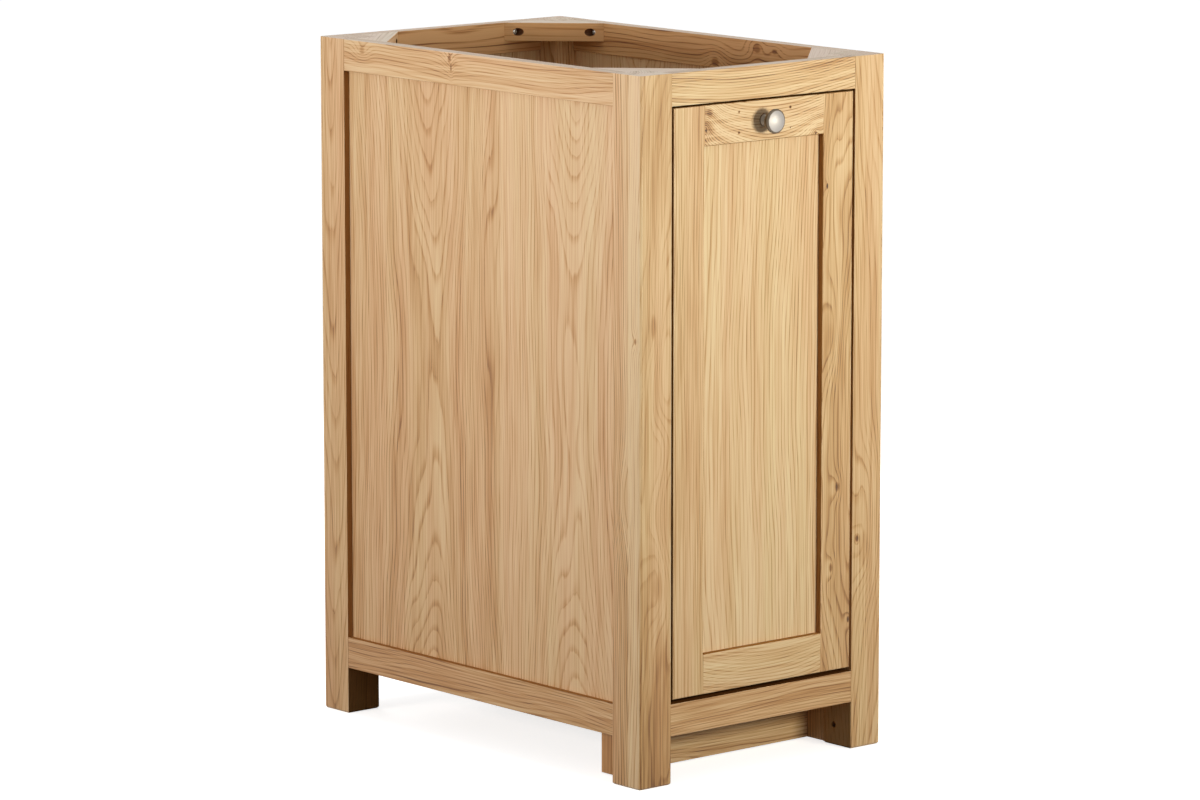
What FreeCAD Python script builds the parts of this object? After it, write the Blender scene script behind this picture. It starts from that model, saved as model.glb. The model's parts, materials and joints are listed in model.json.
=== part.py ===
import FreeCAD, Part
import math
import os

# Pull-out larder cabinet in oak. Four square legs, flush rails and recessed panels make the carcass.
# The framed front carries a rack of three shelves, which slides out between the front legs on two
# telescopic runners.
# Millimetres. X is to the right, Y to the back, Z up. Every piece is drawn with the front face of the
# legs at Y = 0, and is moved at the end so that the whole footprint, knob included, is centred on the
# origin.

Vector = FreeCAD.Vector
RIGHT = Vector(1, 0, 0)
BACK = Vector(0, 1, 0)
UP = Vector(0, 0, 1)

# Carcass
WIDTH = 400.0
DEPTH = 620.0
HEIGHT = 870.0
LEG = 50.0
LEG_ROUND = 4.0             # outer upright edge of each leg
LEG_FOOT_CHAMFER = 2.0
RAIL_THICK = 20.0
RAIL_TALL = 40.0
TOE_SPACE = 60.0            # floor to the underside of the bottom rails
PANEL_THICK = 9.0           # also the thickness of the tenons, which lie in line with the grooves
PANEL_RECESS = 8.0
GROOVE_DEEP = 8.0
PANEL_PLAY = 1.0            # room for a panel to swell in its grooves
TENON_LONG = 20.0
TENON_SHOULDER = 6.0        # on the side of the rail away from the panel
TENON_TO_GROOVE = 4.0
MORTISE_PLAY = 1.0          # past the end of a tenon
LINK_HOLE_RADIUS = 3.0      # blind hole in the inner face of each front leg
LINK_HOLE_DEEP = 30.0
LINK_HOLE_BACK = 31.0
LINK_HOLE_UP = 26.0

# Floor and plinth
FLOOR_THICK = 16.0
CLEAT = 20.0
PLINTH_LIFT = 2.0
PLINTH_BLOCK_THICK = 25.0
PLINTH_BLOCK_DEEP = 50.0
TOE_BOARD_THICK = 20.0

# Screws: small and many, so their round parts are prisms
SCREW_SIDES = 8
SCREW_RADIUS = 2.0
SCREW_HEAD_RADIUS = 4.0
SCREW_HEAD_TALL = 2.5
SCREW_HOLE_PLAY = 0.1
SCREW_TIP_PLAY = 1.0
BLOCK_SCREW_LONG = 20.0
FLOOR_SCREW_LONG = 30.0
FLOOR_SCREW_INSET = 100.0   # from the legs, and for the toe board from the blocks beside it
RUNNER_SCREW_LONG = 14.0
RUNNER_SCREW_INSET = 35.0
DOOR_SCREW_LONG = 30.0
DOOR_SCREW_INSET = 11.0

# Corner blocks
BLOCK_SIDE = 92.0
BLOCK_THICK = 24.0
BLOCK_SCREW_INSET = 13.0    # from the block's sharp end to the screw
BLOCK_SEAT = 5.0            # wood left under the screw's head
COUNTERBORE_RADIUS = 5.0

# Runners
PULL_OUT = 480.0
RUNNER_SIDE_GAP = 12.0      # legs' inner face to the back of the outer channel
RUNNER_FRONT_GAP = 2.0
RUNNER_BACK_GAP = 78.0
RUNNER_LIFT = 3.0
RUNNER_TALL = 46.0
RUNNER_WIDE = 16.0
RUNNER_SHEET = 1.5
RUNNER_LIP = 3.0
MIDDLE_SETBACK = 1.8        # middle channel's lips behind those of the outer channel
ANGLE_SHEET = 2.0
ANGLE_FOOT = 20.0
ANGLE_END_GAP = 5.0
ROLLER_RADIUS = 2.0
ROLLER_PLAY = 0.15          # above and below a roller
ROLLER_COUNT = 2            # along each edge of a cage
CAGE_SHEET = 0.8
CAGE_AIR = 0.8              # between a cage's web and the channels beside it
CAGE_WINDOW_PLAY = 0.3
CAGE_END_GAP = 3.0
CAGE_END_ROLLER = 10.0

# Door, which is the front of the rack
DOOR_THICK = 22.0
DOOR_SIDE_GAP = 3.0
DOOR_TOP_GAP = 2.0
DOOR_BOTTOM_GAP = 5.0
DOOR_ROUND = 2.0
STILE_WIDE = 50.0
DOOR_RAIL_TALL = 50.0
DOOR_PANEL_THICK = 6.0
DOOR_PANEL_RECESS = 8.0
DOOR_TENON_LONG = 25.0
PIN_HOLE_RADIUS = 1.0
PIN_HOLE_DEEP = 3.0
PIN_HOLE_OUT = 42.0
PIN_HOLE_OFF = 12.5

# Rack
BOARD_THICK = 18.0
SHELF_THICK = 18.0
SHELF_COUNT = 3
SHELF_HOUSING = 6.0
RACK_SIDE_GAP = 19.0        # legs' inner faces to the edges of the rack
RACK_OVER_RUNNER = 3.0
RACK_END_GAP = 2.0          # back board to the ends of the runners
BOARD_OVER_FLOOR = 6.0
BOARD_BELOW_KNOB = 12.5
BEARER_WIDE = 20.0
BEARER_LIFT = 10.0
BEARER_AIR = 0.7            # bearer to the lips of the outer channel
SLAT_THICK = 8.0
SLAT_TALL = 18.0
SLAT_IN_BOARD = 8.0
SLAT_INSET = 4.0
SLAT_HEIGHTS = (14.0, 48.0)     # shelf to the lower edge of each slat

# Knob
KNOB_PROJECTION = 24.5
KNOB_RADIUS = 15.0
KNOB_DOME = 3.0
KNOB_BEVEL = 1.6
KNOB_RIM = 1.8
KNOB_NECK_RADIUS = 5.5
KNOB_NECK_OUT = 8.0
KNOB_BASE_RADIUS = 8.5
KNOB_BASE_TALL = 1.5
KNOB_FLARE_IN = 0.75        # share of the way in to the neck, half way up the flare
KNOB_CUP_OUT = 2 / 3        # share of the cup's height at its arc's middle point
KNOB_CUP_ACROSS = 1 / 3     # share of its width there
KNOB_SIDES = 32
KNOB_FLARE_CHORDS = 3
KNOB_CUP_CHORDS = 4
KNOB_DOME_CHORDS = 3
BOLT_IN_KNOB = 12.0

# Places worked out from the sizes above
half = WIDTH / 2
bay = half - LEG
rail_in = half - RAIL_THICK
bottom_rail_top = TOE_SPACE + RAIL_TALL
top_rail_under = HEIGHT - RAIL_TALL
floor_top = bottom_rail_top
floor_under = floor_top - FLOOR_THICK

door_half = bay - DOOR_SIDE_GAP
door_under = bottom_rail_top + DOOR_BOTTOM_GAP
door_top = top_rail_under - DOOR_TOP_GAP
stile_in = door_half - STILE_WIDE
knob_up = door_top - DOOR_RAIL_TALL / 2

runner_face = bay - RUNNER_SIDE_GAP
runner_start = DOOR_THICK + BOARD_THICK + RUNNER_FRONT_GAP
runner_end = DEPTH - RUNNER_BACK_GAP
runner_up = floor_top + RUNNER_LIFT + RUNNER_TALL / 2
runner_top = floor_top + RUNNER_LIFT + RUNNER_TALL

# Across a runner, from the back of the outer channel towards the rack
roller_gap = 2 * (ROLLER_RADIUS + ROLLER_PLAY)
outer_cage_web = RUNNER_SHEET + CAGE_AIR
middle_web = outer_cage_web + CAGE_SHEET + CAGE_AIR
middle_edge = RUNNER_WIDE - MIDDLE_SETBACK
inner_cage_web = middle_web + RUNNER_SHEET + CAGE_AIR
inner_edge = inner_cage_web + CAGE_SHEET + CAGE_AIR
inner_web = RUNNER_WIDE + BEARER_AIR
middle_half_tall = RUNNER_TALL / 2 - RUNNER_SHEET - roller_gap
inner_half_tall = middle_half_tall - RUNNER_SHEET - roller_gap

rack_half = bay - RACK_SIDE_GAP
rack_under = runner_top + RACK_OVER_RUNNER
rack_top = knob_up - BOARD_BELOW_KNOB
board_back = DOOR_THICK + BOARD_THICK
back_board_back = runner_end - RACK_END_GAP
back_board_front = back_board_back - BOARD_THICK
bearer_face = runner_face - inner_web
shelf_step = (rack_top - rack_under) / SHELF_COUNT


def box(x0, x1, y0, y1, z0, z1):
    """A block between two values on each axis."""
    return Part.makeBox(x1 - x0, y1 - y0, z1 - z0, Vector(x0, y0, z0))


def mirrored(shape):
    """The left-hand twin of a right-hand piece."""
    return shape.mirror(Vector(0, 0, 0), RIGHT)


def turned_to_back(shape):
    """The same piece at the back of the carcass, facing the front."""
    return shape.mirror(Vector(0, DEPTH / 2, 0), BACK)


def both_sides(shape):
    return [shape, mirrored(shape)]


def fused(first, *others):
    return first.fuse(list(others)).removeSplitter()


def rounded_outline(corners):
    """A flat face through (point, radius) corners, with a tangent arc at each corner that has a radius."""
    enters, leaves, edges = [], [], []
    for number, (point, radius) in enumerate(corners):
        before = (corners[number - 1][0] - point).normalize()
        after = (corners[(number + 1) % len(corners)][0] - point).normalize()
        half_angle = before.getAngle(after) / 2
        setback = radius / math.tan(half_angle)
        enters.append(point + before * setback)
        leaves.append(point + after * setback)
        if radius:
            bisector = (before + after).normalize()
            middle = point + bisector * (radius / math.sin(half_angle) - radius)
            edges.append(Part.Arc(enters[-1], middle, leaves[-1]).toShape())
    for number, leave in enumerate(leaves):
        edges.append(Part.makeLine(leave, enters[(number + 1) % len(enters)]))
    return Part.Face(Part.Wire(Part.__sortEdges__(edges)))


def small_rod(radius, length, start, along):
    """A prism in place of a thin round rod or hole."""
    turn = FreeCAD.Rotation(UP, along)
    angles = [(corner + 0.5) * 2 * math.pi / SCREW_SIDES for corner in range(SCREW_SIDES)]
    spokes = [Vector(math.cos(angle), math.sin(angle), 0) for angle in angles]
    ring = [start + turn.multVec(spoke * radius) for spoke in spokes]
    return Part.Face(Part.makePolygon(ring + ring[:1])).extrude(along * length)


def screw(seat, inward, length):
    """A screw whose head sits at a point and whose shank runs inward from it."""
    head = small_rod(SCREW_HEAD_RADIUS, SCREW_HEAD_TALL, seat, inward * -1)
    return fused(head, small_rod(SCREW_RADIUS, length, seat, inward))


def screw_hole(seat, inward, length):
    """The hole that clears such a screw's shank."""
    return small_rod(SCREW_RADIUS + SCREW_HOLE_PLAY, length + SCREW_TIP_PLAY, seat, inward)


def drilled(shape, places, length):
    """A piece with a hole for each (seat, inward) screw in places."""
    return shape.cut([screw_hole(seat, inward, length) for seat, inward in places])


def screws(places, length):
    return [screw(seat, inward, length) for seat, inward in places]


# Carcass: rails and their tenons

def tenon_heights(rail_under, rail_tall, panel_above):
    """Lowest and highest point of a rail's tenon, kept clear of the panel's groove."""
    by_panel = GROOVE_DEEP + TENON_TO_GROOVE
    below, above = (TENON_SHOULDER, by_panel) if panel_above else (by_panel, TENON_SHOULDER)
    return rail_under + below, rail_under + rail_tall - above


def front_tenon(rail_under, panel_above, play):
    reach = bay + TENON_LONG + play
    low, high = tenon_heights(rail_under, RAIL_TALL, panel_above)
    return box(-reach, reach, PANEL_RECESS, PANEL_RECESS + PANEL_THICK, low, high)


def side_tenon(rail_under, panel_above, play):
    start = LEG - TENON_LONG - play
    low, high = tenon_heights(rail_under, RAIL_TALL, panel_above)
    outer = half - PANEL_RECESS
    return box(outer - PANEL_THICK, outer, start, DEPTH - start, low, high)


def front_rail(rail_under, panel_above):
    body = box(-bay, bay, 0, RAIL_THICK, rail_under, rail_under + RAIL_TALL)
    return fused(body, front_tenon(rail_under, panel_above, 0))


def side_rail(rail_under, panel_above):
    body = box(rail_in, half, LEG, DEPTH - LEG, rail_under, rail_under + RAIL_TALL)
    return fused(body, side_tenon(rail_under, panel_above, 0))


# Carcass: panels, and the grooves they stand in

def panel_box(x0, x1, y0, y1, play, across):
    """A panel's space between the rails: it stands on the lower groove and has play at its other edges."""
    reach = GROOVE_DEEP - play
    wide, deep = (reach, 0) if across else (0, reach)
    low = bottom_rail_top - GROOVE_DEEP
    return box(x0 - wide, x1 + wide, y0 - deep, y1 + deep, low, top_rail_under + reach)


def side_panel_space(play):
    outer = half - PANEL_RECESS
    return panel_box(outer - PANEL_THICK, outer, LEG, DEPTH - LEG, play, across=False)


def back_panel_space(play):
    outer = DEPTH - PANEL_RECESS
    return panel_box(-bay, bay, outer - PANEL_THICK, outer, play, across=True)


# Carcass: legs

def link_hole():
    mouth = Vector(bay, LINK_HOLE_BACK, LINK_HOLE_UP)
    return Part.makeCylinder(LINK_HOLE_RADIUS, LINK_HOLE_DEEP, mouth, RIGHT)


def leg_blank():
    """The front right post: rounded on its outer upright edge, eased round its foot."""
    outline = rounded_outline([
        (Vector(bay, 0, 0), 0),
        (Vector(half, 0, 0), LEG_ROUND),
        (Vector(half, LEG, 0), 0),
        (Vector(bay, LEG, 0), 0),
    ])
    post = outline.extrude(UP * HEIGHT)
    foot_edges = [edge for edge in post.Edges if edge.BoundBox.ZMax < LEG_FOOT_CHAMFER / 2]
    return post.makeChamfer(LEG_FOOT_CHAMFER, foot_edges)


def legs():
    """The two right-hand legs, front and back, with their mortises and grooves."""
    levels = ((TOE_SPACE, True), (top_rail_under, False))
    side_cuts = [side_tenon(*level, MORTISE_PLAY) for level in levels] + [side_panel_space(0)]
    front_cuts = [front_tenon(*level, MORTISE_PLAY) for level in levels]
    back_cuts = [turned_to_back(cut) for cut in front_cuts] + [back_panel_space(0)]
    front_leg = leg_blank().cut(side_cuts + front_cuts + [link_hole()])
    back_leg = turned_to_back(leg_blank()).cut(side_cuts + back_cuts)
    return front_leg, back_leg


# Corner blocks inside the top

block_screw_up = HEIGHT - BLOCK_THICK / 2


def block_screw_places():
    """Seats of the front right block's two screws: one into the front rail, one into the side rail."""
    along = BLOCK_SIDE - BLOCK_SCREW_INSET
    into_front = Vector(rail_in - along, RAIL_THICK + BLOCK_SEAT, block_screw_up)
    into_side = Vector(rail_in - BLOCK_SEAT, RAIL_THICK + along, block_screw_up)
    return [(into_front, BACK * -1), (into_side, RIGHT)]


def corner_block():
    """A block in the angle of two rails, notched round the leg and cut across at 45 degrees."""
    notch = LEG - RAIL_THICK
    corner = Vector(rail_in, RAIL_THICK, HEIGHT - BLOCK_THICK)
    across = [(notch, 0), (BLOCK_SIDE, 0), (0, BLOCK_SIDE), (0, notch), (notch, notch)]
    outline = rounded_outline([(corner + Vector(-u, v, 0), 0) for u, v in across])
    block = drilled(outline.extrude(UP * BLOCK_THICK), block_screw_places(), BLOCK_SCREW_LONG)
    counterbores = [
        Part.makeCylinder(COUNTERBORE_RADIUS, BLOCK_SIDE, seat, inward * -1)
        for seat, inward in block_screw_places()
    ]
    return block.cut(counterbores)


# Floor and plinth

def floor_screw_places():
    """Down through the floor board into the cleats and the toe board, on the right."""
    cleat_middle = rail_in - CLEAT / 2
    toe_middle = LEG + PLINTH_BLOCK_DEEP - TOE_BOARD_THICK / 2
    spots = [
        (cleat_middle, LEG + FLOOR_SCREW_INSET),
        (cleat_middle, DEPTH - LEG - FLOOR_SCREW_INSET),
        (bay - FLOOR_SCREW_INSET, toe_middle),
    ]
    return [(Vector(x, y, floor_top), UP * -1) for x, y in spots]


def both_sides_places(places):
    """Screw places on the right, and the same on the left."""
    def flipped(vector):
        return Vector(-vector.x, vector.y, vector.z)

    return places + [(flipped(seat), flipped(inward)) for seat, inward in places]


def floor_board():
    board = box(-rail_in, rail_in, RAIL_THICK, DEPTH - RAIL_THICK, floor_under, floor_top)
    notch = box(bay, half, 0, LEG, floor_under, floor_top)
    notches = both_sides(notch) + both_sides(turned_to_back(notch))
    board = drilled(board.cut(notches), both_sides_places(floor_screw_places()), FLOOR_SCREW_LONG)
    return drilled(board, both_sides_places(angle_screw_places()), RUNNER_SCREW_LONG)


def floor_cleat():
    cleat = box(rail_in - CLEAT, rail_in, LEG, DEPTH - LEG, floor_under - CLEAT, floor_under)
    return drilled(cleat, floor_screw_places(), FLOOR_SCREW_LONG)


def plinth_block():
    top = floor_under - CLEAT
    return box(bay, bay + PLINTH_BLOCK_THICK, LEG, LEG + PLINTH_BLOCK_DEEP, PLINTH_LIFT, top)


def toe_board():
    back = LEG + PLINTH_BLOCK_DEEP
    board = box(-bay, bay, back - TOE_BOARD_THICK, back, PLINTH_LIFT, floor_under)
    return drilled(board, both_sides_places(floor_screw_places()), FLOOR_SCREW_LONG)


# Runners, drawn on the right

def channel(web, edge, half_tall, sheet, lip, start, end):
    """A folded channel along Y. Web and edge are distances across the runner.
    The lips, if there are any, turn inwards."""
    side = 1 if edge > web else -1
    low = -half_tall
    lower = [(web, low, sheet), (edge, low, sheet if lip else 0)]
    if lip:
        lower += [(edge, low + sheet + lip, 0), (edge - side * sheet, low + sheet + lip, 0)]
        lower += [(edge - side * sheet, low + sheet, 0)]
    else:
        lower += [(edge, low + sheet, 0)]
    lower += [(web + side * sheet, low + sheet, 0)]
    outline = lower + [(across, -up, radius) for across, up, radius in reversed(lower)]
    corners = [
        (Vector(runner_face - across, start, runner_up + up), radius)
        for across, up, radius in outline
    ]
    return rounded_outline(corners).extrude(BACK * (end - start))


def outer_channel():
    return channel(0, RUNNER_WIDE, RUNNER_TALL / 2, RUNNER_SHEET, RUNNER_LIP, runner_start, runner_end)


def middle_channel():
    return channel(
        middle_web, middle_edge, middle_half_tall, RUNNER_SHEET, RUNNER_LIP, runner_start, runner_end)


def inner_channel():
    bare = channel(inner_web, inner_edge, inner_half_tall, RUNNER_SHEET, 0, runner_start, runner_end)
    return drilled(bare, bearer_screw_places(), RUNNER_SCREW_LONG)


def roller_cage(web, edge, roller_from, gap_up):
    """A folded cage and its rollers, which run above and below in the gaps between two channels."""
    start = runner_start + PULL_OUT / 4 + CAGE_END_GAP
    end = runner_end - PULL_OUT / 4 - CAGE_END_GAP
    cage = channel(web, edge, gap_up + CAGE_SHEET / 2, CAGE_SHEET, 0, start, end)
    roller_to = edge - CAGE_AIR
    first = start + CAGE_END_ROLLER
    step = (end - start - 2 * CAGE_END_ROLLER) / (ROLLER_COUNT - 1)
    slack = ROLLER_RADIUS + CAGE_WINDOW_PLAY
    rollers, windows = [], []
    for number in range(ROLLER_COUNT):
        along = first + number * step
        for up in (runner_up - gap_up, runner_up + gap_up):
            end_face = Vector(runner_face - roller_to, along, up)
            rollers.append(Part.makeCylinder(ROLLER_RADIUS, roller_to - roller_from, end_face, RIGHT))
            windows.append(box(
                runner_face - roller_to - CAGE_WINDOW_PLAY, runner_face - roller_from + CAGE_WINDOW_PLAY,
                along - slack, along + slack, up - CAGE_SHEET, up + CAGE_SHEET,
            ))
    return [cage.cut(windows)] + rollers


def outer_roller_cage():
    edge = RUNNER_WIDE - RUNNER_SHEET - CAGE_AIR
    gap_up = RUNNER_TALL / 2 - RUNNER_SHEET - roller_gap / 2
    return roller_cage(outer_cage_web, edge, middle_web + CAGE_AIR, gap_up)


def inner_roller_cage():
    edge = middle_edge - RUNNER_SHEET - CAGE_AIR
    gap_up = middle_half_tall - RUNNER_SHEET - roller_gap / 2
    return roller_cage(inner_cage_web, edge, inner_edge + CAGE_AIR, gap_up)


def runner_screw_spots():
    """Three places along a runner."""
    first = LEG + ANGLE_END_GAP + RUNNER_SCREW_INSET
    last = runner_end - ANGLE_END_GAP - RUNNER_SCREW_INSET
    return [first, (first + last) / 2, last]


def angle_screw_places():
    across = runner_face + (ANGLE_SHEET + ANGLE_FOOT) / 2
    seat_up = floor_top + ANGLE_SHEET
    return [(Vector(across, along, seat_up), UP * -1) for along in runner_screw_spots()]


def bearer_screw_places():
    across = bearer_face + RUNNER_SHEET
    return [(Vector(across, along, runner_up), RIGHT * -1) for along in runner_screw_spots()]


def runner_angle():
    """The bracket that stands on the floor board and holds the outer channel."""
    start = LEG + ANGLE_END_GAP
    section = [
        (runner_face, floor_top, ANGLE_SHEET), (runner_face + ANGLE_FOOT, floor_top, 0),
        (runner_face + ANGLE_FOOT, floor_top + ANGLE_SHEET, 0),
        (runner_face + ANGLE_SHEET, floor_top + ANGLE_SHEET, 0),
        (runner_face + ANGLE_SHEET, runner_top, 0), (runner_face, runner_top, 0),
    ]
    outline = rounded_outline([(Vector(x, start, z), radius) for x, z, radius in section])
    angle = outline.extrude(BACK * (runner_end - ANGLE_END_GAP - start))
    return drilled(angle, angle_screw_places(), RUNNER_SCREW_LONG)


# Rack

def shelf_under(number):
    return rack_under + number * shelf_step


def shelf(number):
    start = board_back - SHELF_HOUSING
    end = back_board_front + SHELF_HOUSING
    under = shelf_under(number)
    return box(-rack_half, rack_half, start, end, under, under + SHELF_THICK)


def gallery(number):
    """Slats along both sides of a shelf, let into both boards, which keep bottles on it."""
    start = board_back - SLAT_IN_BOARD
    end = back_board_front + SLAT_IN_BOARD
    outer = rack_half - SLAT_INSET
    slats = []
    for height in SLAT_HEIGHTS:
        low = shelf_under(number) + SHELF_THICK + height
        slats += both_sides(box(outer - SLAT_THICK, outer, start, end, low, low + SLAT_TALL))
    return slats


def rack_cuts():
    """Housings for the shelves and the slats, taken out of both boards."""
    cuts = []
    for number in range(SHELF_COUNT):
        cuts += [shelf(number)] + gallery(number)
    return cuts


def door_screw_places():
    """From the board into the right stile, midway between the upper slat and whatever is above it."""
    clear = shelf_step - SHELF_THICK
    height = (max(SLAT_HEIGHTS) + SLAT_TALL + clear) / 2
    across = rack_half - DOOR_SCREW_INSET
    ups = [shelf_under(number) + SHELF_THICK + height for number in range(SHELF_COUNT)]
    return [(Vector(across, board_back, up), BACK * -1) for up in ups]


def rack_front_board():
    board = box(-rack_half, rack_half, DOOR_THICK, board_back, floor_top + BOARD_OVER_FLOOR, rack_top)
    return drilled(board.cut(rack_cuts()), both_sides_places(door_screw_places()), DOOR_SCREW_LONG)


def rack_back_board():
    board = box(-rack_half, rack_half, back_board_front, back_board_back, rack_under, rack_top)
    return board.cut(rack_cuts())


def bearer():
    low = floor_top + BEARER_LIFT
    body = box(bearer_face - BEARER_WIDE, bearer_face, board_back, back_board_back, low, rack_under)
    return drilled(body, bearer_screw_places(), RUNNER_SCREW_LONG)


# Front

def door_frame():
    """The outline of the joined frame, softened along its outer and inner front edges."""
    inner_low = door_under + DOOR_RAIL_TALL
    inner_high = door_top - DOOR_RAIL_TALL
    slab = box(-door_half, door_half, 0, DOOR_THICK, door_under, door_top)
    frame = slab.cut(box(-stile_in, stile_in, 0, DOOR_THICK, inner_low, inner_high))
    face_edges = [edge for edge in frame.Edges if edge.BoundBox.YMax < DOOR_ROUND / 2]
    return frame.makeFillet(DOOR_ROUND, face_edges)


def door_panel_space(play):
    reach = GROOVE_DEEP - play
    low = door_under + DOOR_RAIL_TALL - GROOVE_DEEP
    high = door_top - DOOR_RAIL_TALL + reach
    back = DOOR_PANEL_RECESS + DOOR_PANEL_THICK
    return box(-stile_in - reach, stile_in + reach, DOOR_PANEL_RECESS, back, low, high)


def door_rail_tenon(rail_under, panel_above, play):
    reach = stile_in + DOOR_TENON_LONG + play
    back = DOOR_PANEL_RECESS + DOOR_PANEL_THICK
    low, high = tenon_heights(rail_under, DOOR_RAIL_TALL, panel_above)
    return box(-reach, reach, DOOR_PANEL_RECESS, back, low, high)


door_rail_levels = ((door_under, True), (door_top - DOOR_RAIL_TALL, False))


def door_stile():
    body = box(stile_in, door_half, 0, DOOR_THICK, door_under, door_top).common(door_frame())
    mortises = [door_rail_tenon(*level, MORTISE_PLAY) for level in door_rail_levels]
    return drilled(body.cut(mortises + [door_panel_space(0)]), door_screw_places(), DOOR_SCREW_LONG)


def door_rail(rail_under, panel_above):
    body = box(-stile_in, stile_in, 0, DOOR_THICK, rail_under, rail_under + DOOR_RAIL_TALL)
    softened = body.common(door_frame()).cut(door_panel_space(0))
    return fused(softened, door_rail_tenon(rail_under, panel_above, 0))


def door_top_rail():
    """The upper rail, with the knob's bolt hole and four pin holes round the knob."""
    pins = [
        small_rod(PIN_HOLE_RADIUS, PIN_HOLE_DEEP, Vector(across, 0, knob_up + off), BACK)
        for across in (-PIN_HOLE_OUT, PIN_HOLE_OUT) for off in (-PIN_HOLE_OFF, PIN_HOLE_OFF)
    ]
    return drilled(door_rail(*door_rail_levels[1]).cut(pins), [bolt_place], bolt_long)


# Knob and its bolt

bolt_place = (Vector(0, DOOR_THICK, knob_up), BACK * -1)
bolt_long = DOOR_THICK + BOLT_IN_KNOB


def knob_outline():
    """The knob's profile as (radius, out) points, from the edge of its base to the edge of its dome.
    Its arcs are a few chords each: flared base, waisted neck, cupped underside and shallow dome."""
    def arc(start, middle, end, chords):
        points = [Vector(radius, out, 0) for radius, out in (start, middle, end)]
        return [(point.x, point.y) for point in Part.Arc(*points).toShape().discretize(chords + 1)]

    dome_out = KNOB_PROJECTION - KNOB_DOME
    bevel_out = dome_out - KNOB_BEVEL
    cup_out = bevel_out - KNOB_RIM
    neck = (KNOB_NECK_RADIUS, KNOB_NECK_OUT)
    flare_middle = (
        KNOB_BASE_RADIUS + (KNOB_NECK_RADIUS - KNOB_BASE_RADIUS) * KNOB_FLARE_IN,
        (KNOB_BASE_TALL + KNOB_NECK_OUT) / 2,
    )
    cup_middle = (
        KNOB_NECK_RADIUS + (KNOB_RADIUS - KNOB_NECK_RADIUS) * KNOB_CUP_ACROSS,
        KNOB_NECK_OUT + (cup_out - KNOB_NECK_OUT) * KNOB_CUP_OUT,
    )
    dome_radius = KNOB_RADIUS - KNOB_BEVEL
    ball_radius = (dome_radius ** 2 + KNOB_DOME ** 2) / (2 * KNOB_DOME)
    dome_fall = ball_radius - math.sqrt(ball_radius ** 2 - dome_radius ** 2 / 4)
    dome_middle = (dome_radius / 2, KNOB_PROJECTION - dome_fall)
    flare = arc((KNOB_BASE_RADIUS, KNOB_BASE_TALL), flare_middle, neck, KNOB_FLARE_CHORDS)
    cup = arc(neck, cup_middle, (KNOB_RADIUS, cup_out), KNOB_CUP_CHORDS)
    dome = arc((dome_radius, dome_out), dome_middle, (0, KNOB_PROJECTION), KNOB_DOME_CHORDS)
    return [(KNOB_BASE_RADIUS, 0)] + flare + cup[1:] + [(KNOB_RADIUS, bevel_out)] + dome[:-1]


def knob():
    """The outline turned about the bolt, in flats fine enough to read as round."""
    def on_ring(side, radius, out):
        angle = side * 2 * math.pi / KNOB_SIDES
        return Vector(radius * math.cos(angle), -out, knob_up + radius * math.sin(angle))

    def flat(corners):
        return Part.Face(Part.makePolygon(corners + corners[:1]))

    outline = knob_outline()
    tip = Vector(0, -KNOB_PROJECTION, knob_up)
    flats = [flat([on_ring(side, *outline[0]) for side in range(KNOB_SIDES)])]
    for side in range(KNOB_SIDES):
        for low, high in zip(outline, outline[1:]):
            flats.append(flat([
                on_ring(side, *low), on_ring(side + 1, *low),
                on_ring(side + 1, *high), on_ring(side, *high),
            ]))
        flats.append(flat([on_ring(side, *outline[-1]), on_ring(side + 1, *outline[-1]), tip]))
    return drilled(Part.makeSolid(Part.makeShell(flats)), [bolt_place], bolt_long)


# All pieces by name

pieces = {}


def add(name, *solids):
    pieces[name] = list(solids)


def add_pair(name, *right_solids):
    """A right-hand piece and its mirror image on the left; a star in the name takes the side."""
    add(name.replace("*", "right"), *right_solids)
    add(name.replace("*", "left"), *[mirrored(solid) for solid in right_solids])


front_leg, back_leg = legs()
add_pair("front_*_leg", front_leg)
add_pair("back_*_leg", back_leg)

front_block_places = both_sides_places(block_screw_places())
top_rail = drilled(front_rail(top_rail_under, False), front_block_places, BLOCK_SCREW_LONG)
low_rail = front_rail(TOE_SPACE, True)
add("front_top_rail", top_rail)
add("front_bottom_rail", low_rail)
add("back_top_rail", turned_to_back(top_rail).cut(back_panel_space(0)))
add("back_bottom_rail", turned_to_back(low_rail).cut(back_panel_space(0)))

side_block_holes = [screw_hole(seat, inward, BLOCK_SCREW_LONG) for seat, inward in block_screw_places()]
side_block_holes += [turned_to_back(hole) for hole in side_block_holes]
add_pair("*_top_rail", side_rail(top_rail_under, False).cut(side_block_holes + [side_panel_space(0)]))
add_pair("*_bottom_rail", side_rail(TOE_SPACE, True).cut(side_panel_space(0)))
add_pair("*_side_panel", side_panel_space(PANEL_PLAY))
add("back_panel", back_panel_space(PANEL_PLAY))

block = corner_block()
block_screws = screws(block_screw_places(), BLOCK_SCREW_LONG)
block_screws += [turned_to_back(piece) for piece in block_screws]
add_pair("front_*_corner_block", block)
add_pair("back_*_corner_block", turned_to_back(block))
add("corner_block_screws", *block_screws, *[mirrored(piece) for piece in block_screws])

add("floor_board", floor_board())
add_pair("*_floor_cleat", floor_cleat())
add("floor_screws", *screws(both_sides_places(floor_screw_places()), FLOOR_SCREW_LONG))
add("toe_board", toe_board())
add_pair("*_plinth_block", plinth_block())

add_pair("*_runner_angle", runner_angle())
add("runner_angle_screws", *screws(both_sides_places(angle_screw_places()), RUNNER_SCREW_LONG))
add_pair("*_runner_outer", outer_channel())
add_pair("*_runner_middle", middle_channel())
add_pair("*_runner_inner", inner_channel())
add_pair("*_outer_roller_cage", *outer_roller_cage())
add_pair("*_inner_roller_cage", *inner_roller_cage())

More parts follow.
